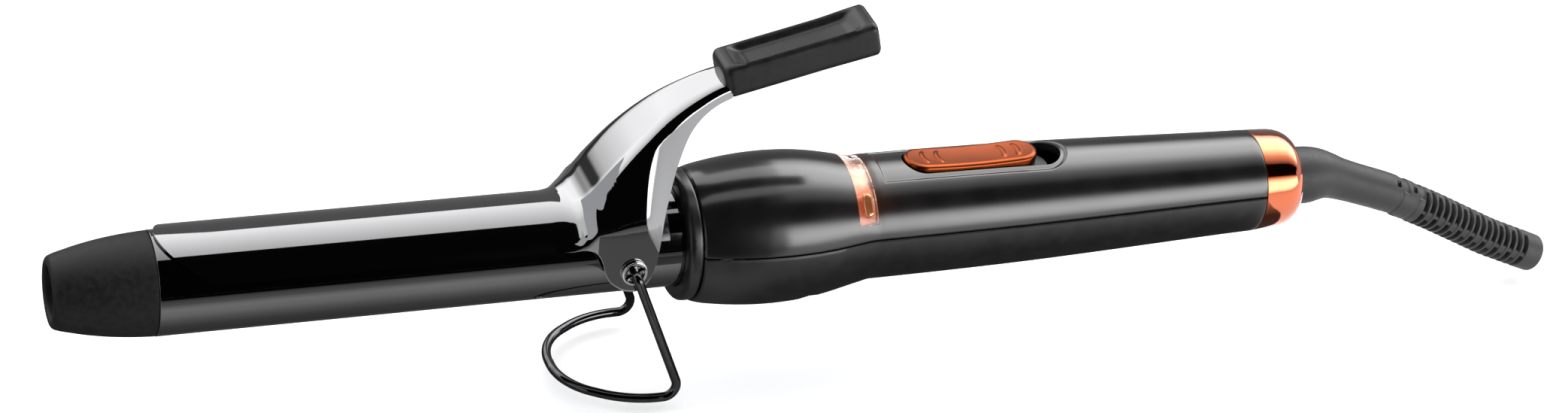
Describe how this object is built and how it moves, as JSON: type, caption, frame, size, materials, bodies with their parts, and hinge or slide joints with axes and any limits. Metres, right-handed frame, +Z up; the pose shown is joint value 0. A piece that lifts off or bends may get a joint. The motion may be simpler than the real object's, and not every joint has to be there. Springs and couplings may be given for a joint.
{
  "type": "curling iron",
  "caption": "Hair curling iron: tubular heated barrel, spring clamp with thumb lever, wire stand, tapered handle with slide switch and light window, swivelling strain relief.",
  "frame": {"origin": "centre of the cool tip's front face, at the mouth of its round recess, on the barrel's axis", "axes": "+X along the barrel towards the handle and cord, +Z up with the switch and clamp on top, +Y to complete a right-handed frame"},
  "size_m": [0.3981, 0.0408, 0.0939],
  "materials": {
    "tip_plastic": "satin black",
    "zinc_steel": "zinc plated",
    "barrel_chrome": "black chrome",
    "aluminium": "extruded",
    "ceramic": "sintered",
    "brass": "satin",
    "film": "amber film",
    "spring_steel": "tempered",
    "glass_bead": "glass sealed",
    "wire_insulation": "silicone",
    "heatproof_plastic": "moulded",
    "collar_plastic": "satin black",
    "bracket_steel": "black chrome",
    "screw_chrome": "bright",
    "washer_nylon": "natural nylon",
    "clamp_chrome": "black chrome",
    "rest_plastic": "satin black",
    "stand_chrome": "black chrome",
    "handle_gloss": "gunmetal metallic gloss",
    "handle_matte": "satin black",
    "window_clear": "clear moulded",
    "pipe_clear": "tinted clear",
    "copper_foil": "metallised copper",
    "copper_chrome": "copper plated",
    "board_green": "solder mask",
    "led_amber": "tinted epoxy",
    "switch_black": "moulded",
    "slider_black": "moulded",
    "capacitor_yellow": "moulded box",
    "relief_rubber": "moulded"
  },
  "bodies": {
    "iron": {"cool_tip": "tip_plastic", "tip_screw": "zinc_steel", "tip_anchor": "zinc_steel", "barrel_tube": "barrel_chrome", "heat_spreader_upper": "aluminium", "heat_spreader_lower": "aluminium", "ptc_pills": "ceramic", "ptc_electrodes": "brass", "insulation_film": "film", "spreader_springs": "spring_steel", "thermal_fuse": "zinc_steel", "thermistor": "glass_bead", "heater_leads": "wire_insulation", "barrel_end_insulator": "heatproof_plastic", "front_collar": "collar_plastic", "retainer_ring": "zinc_steel", "retainer_screws": "zinc_steel", "pivot_bracket": "bracket_steel", "bracket_rivets": "zinc_steel", "spring_pin": "bracket_steel", "clamp_spring": "spring_steel", "pivot_screws": "screw_chrome", "pivot_washers": "washer_nylon", "handle_upper_shell": "handle_gloss", "handle_lower_shell": "handle_matte", "handle_screws": "zinc_steel", "indicator_window": "window_clear", "light_pipe": "pipe_clear", "window_reflector": "copper_foil", "control_board": "board_green", "board_screws": "zinc_steel", "indicator_led": "led_amber", "slide_switch_body": "switch_black", "triac": "switch_black", "film_capacitor": "capacitor_yellow", "swivel_bearing": "washer_nylon", "brush_block": "heatproof_plastic", "brush_contacts": "brass", "supply_wires": "wire_insulation", "end_ring": "copper_chrome"},
    "clamp": {"clamp_spoon": "clamp_chrome", "thumb_rest": "rest_plastic"},
    "stand": {"stand_wire": "stand_chrome"},
    "switch": {"switch_button": "copper_chrome", "switch_slider": "slider_black", "switch_actuator": "heatproof_plastic"},
    "cord_swivel": {"strain_relief": "relief_rubber", "swivel_shaft": "heatproof_plastic", "slip_rings": "brass"}
  },
  "joints": [
    {"name": "clamp_hinge", "type": "hinge", "parent": "iron", "child": "clamp", "pos_m": [0.137, 0, 0], "axis": [0, 1, 0], "range_deg": [0, 18], "stiffness_Nm_per_rad": 0.35, "springref_deg": -20.05, "deforming": ["clamp_spring"]},
    {"name": "stand_hinge", "type": "hinge", "parent": "iron", "child": "stand", "pos_m": [0.137, 0, 0], "axis": [0, 1, 0], "range_deg": [-20, 44]},
    {"name": "switch_slide", "type": "slide", "parent": "iron", "child": "switch", "axis": [1, 0, 0], "range_m": [0, 0.006]},
    {"name": "cord_swivel_turn", "type": "hinge", "parent": "iron", "child": "cord_swivel", "pos_m": [0.3, 0, 0], "axis": [1, 0, 0], "continuous": true}
  ]
}
